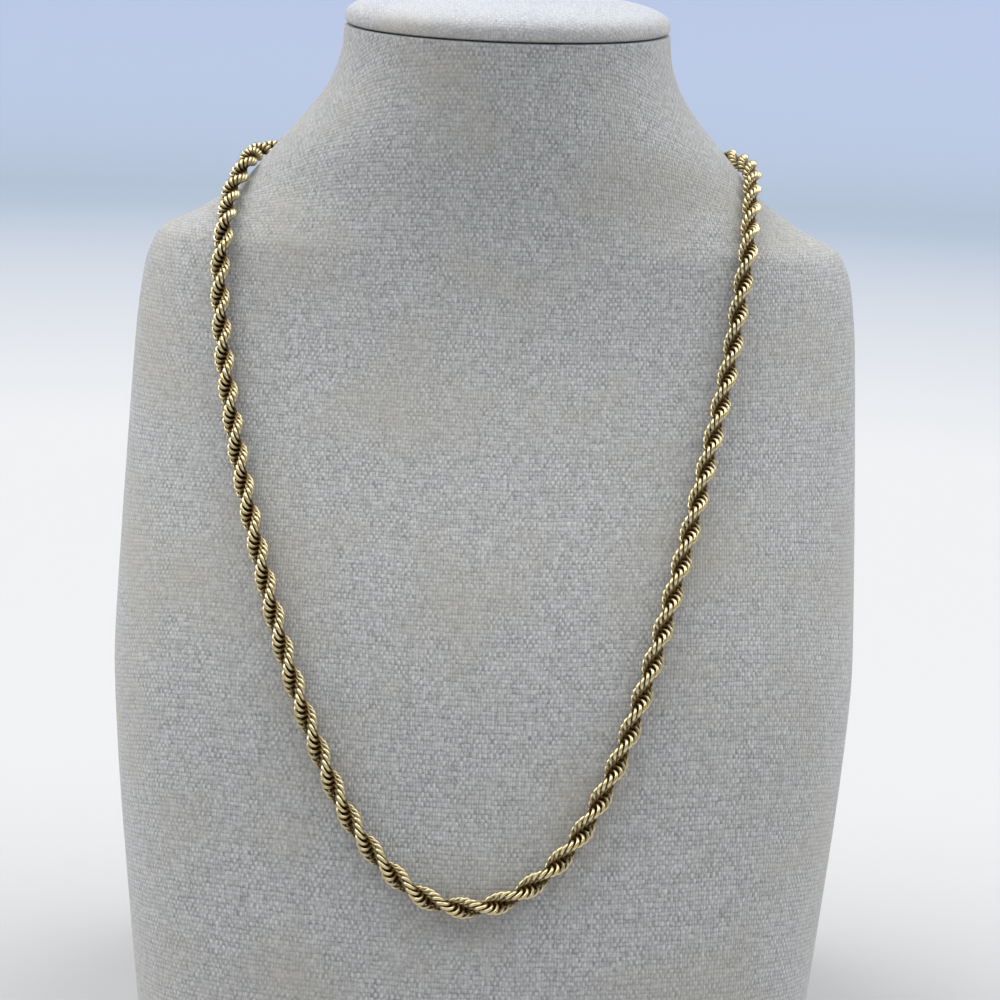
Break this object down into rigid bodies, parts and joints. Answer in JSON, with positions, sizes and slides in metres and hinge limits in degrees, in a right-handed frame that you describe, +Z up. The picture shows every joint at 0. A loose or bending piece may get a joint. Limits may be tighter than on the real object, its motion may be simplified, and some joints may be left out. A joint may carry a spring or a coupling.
{
  "type": "rope chain necklace on a neck bust",
  "caption": "Twisted gold rope chain necklace with a barrel clasp, worn round a linen covered neck display bust with a round cap.",
  "frame": {"origin": "middle of the bust's flat base, on the surface it stands on", "axes": "+Z up, the chest faces -Y, +X to the right as the bust is seen from the front"},
  "size_m": [0.178, 0.1731, 0.2487],
  "materials": {
    "linen": "warm grey linen stretched over a moulded form",
    "pale_linen": "pale linen over a domed disc, matte",
    "gold": "polished yellow gold plate"
  },
  "bodies": {
    "root": {"neck_bust": "linen", "neck_cap": "pale_linen", "rope_chain": "gold", "clasp": "gold"}
  },
  "joints": []
}
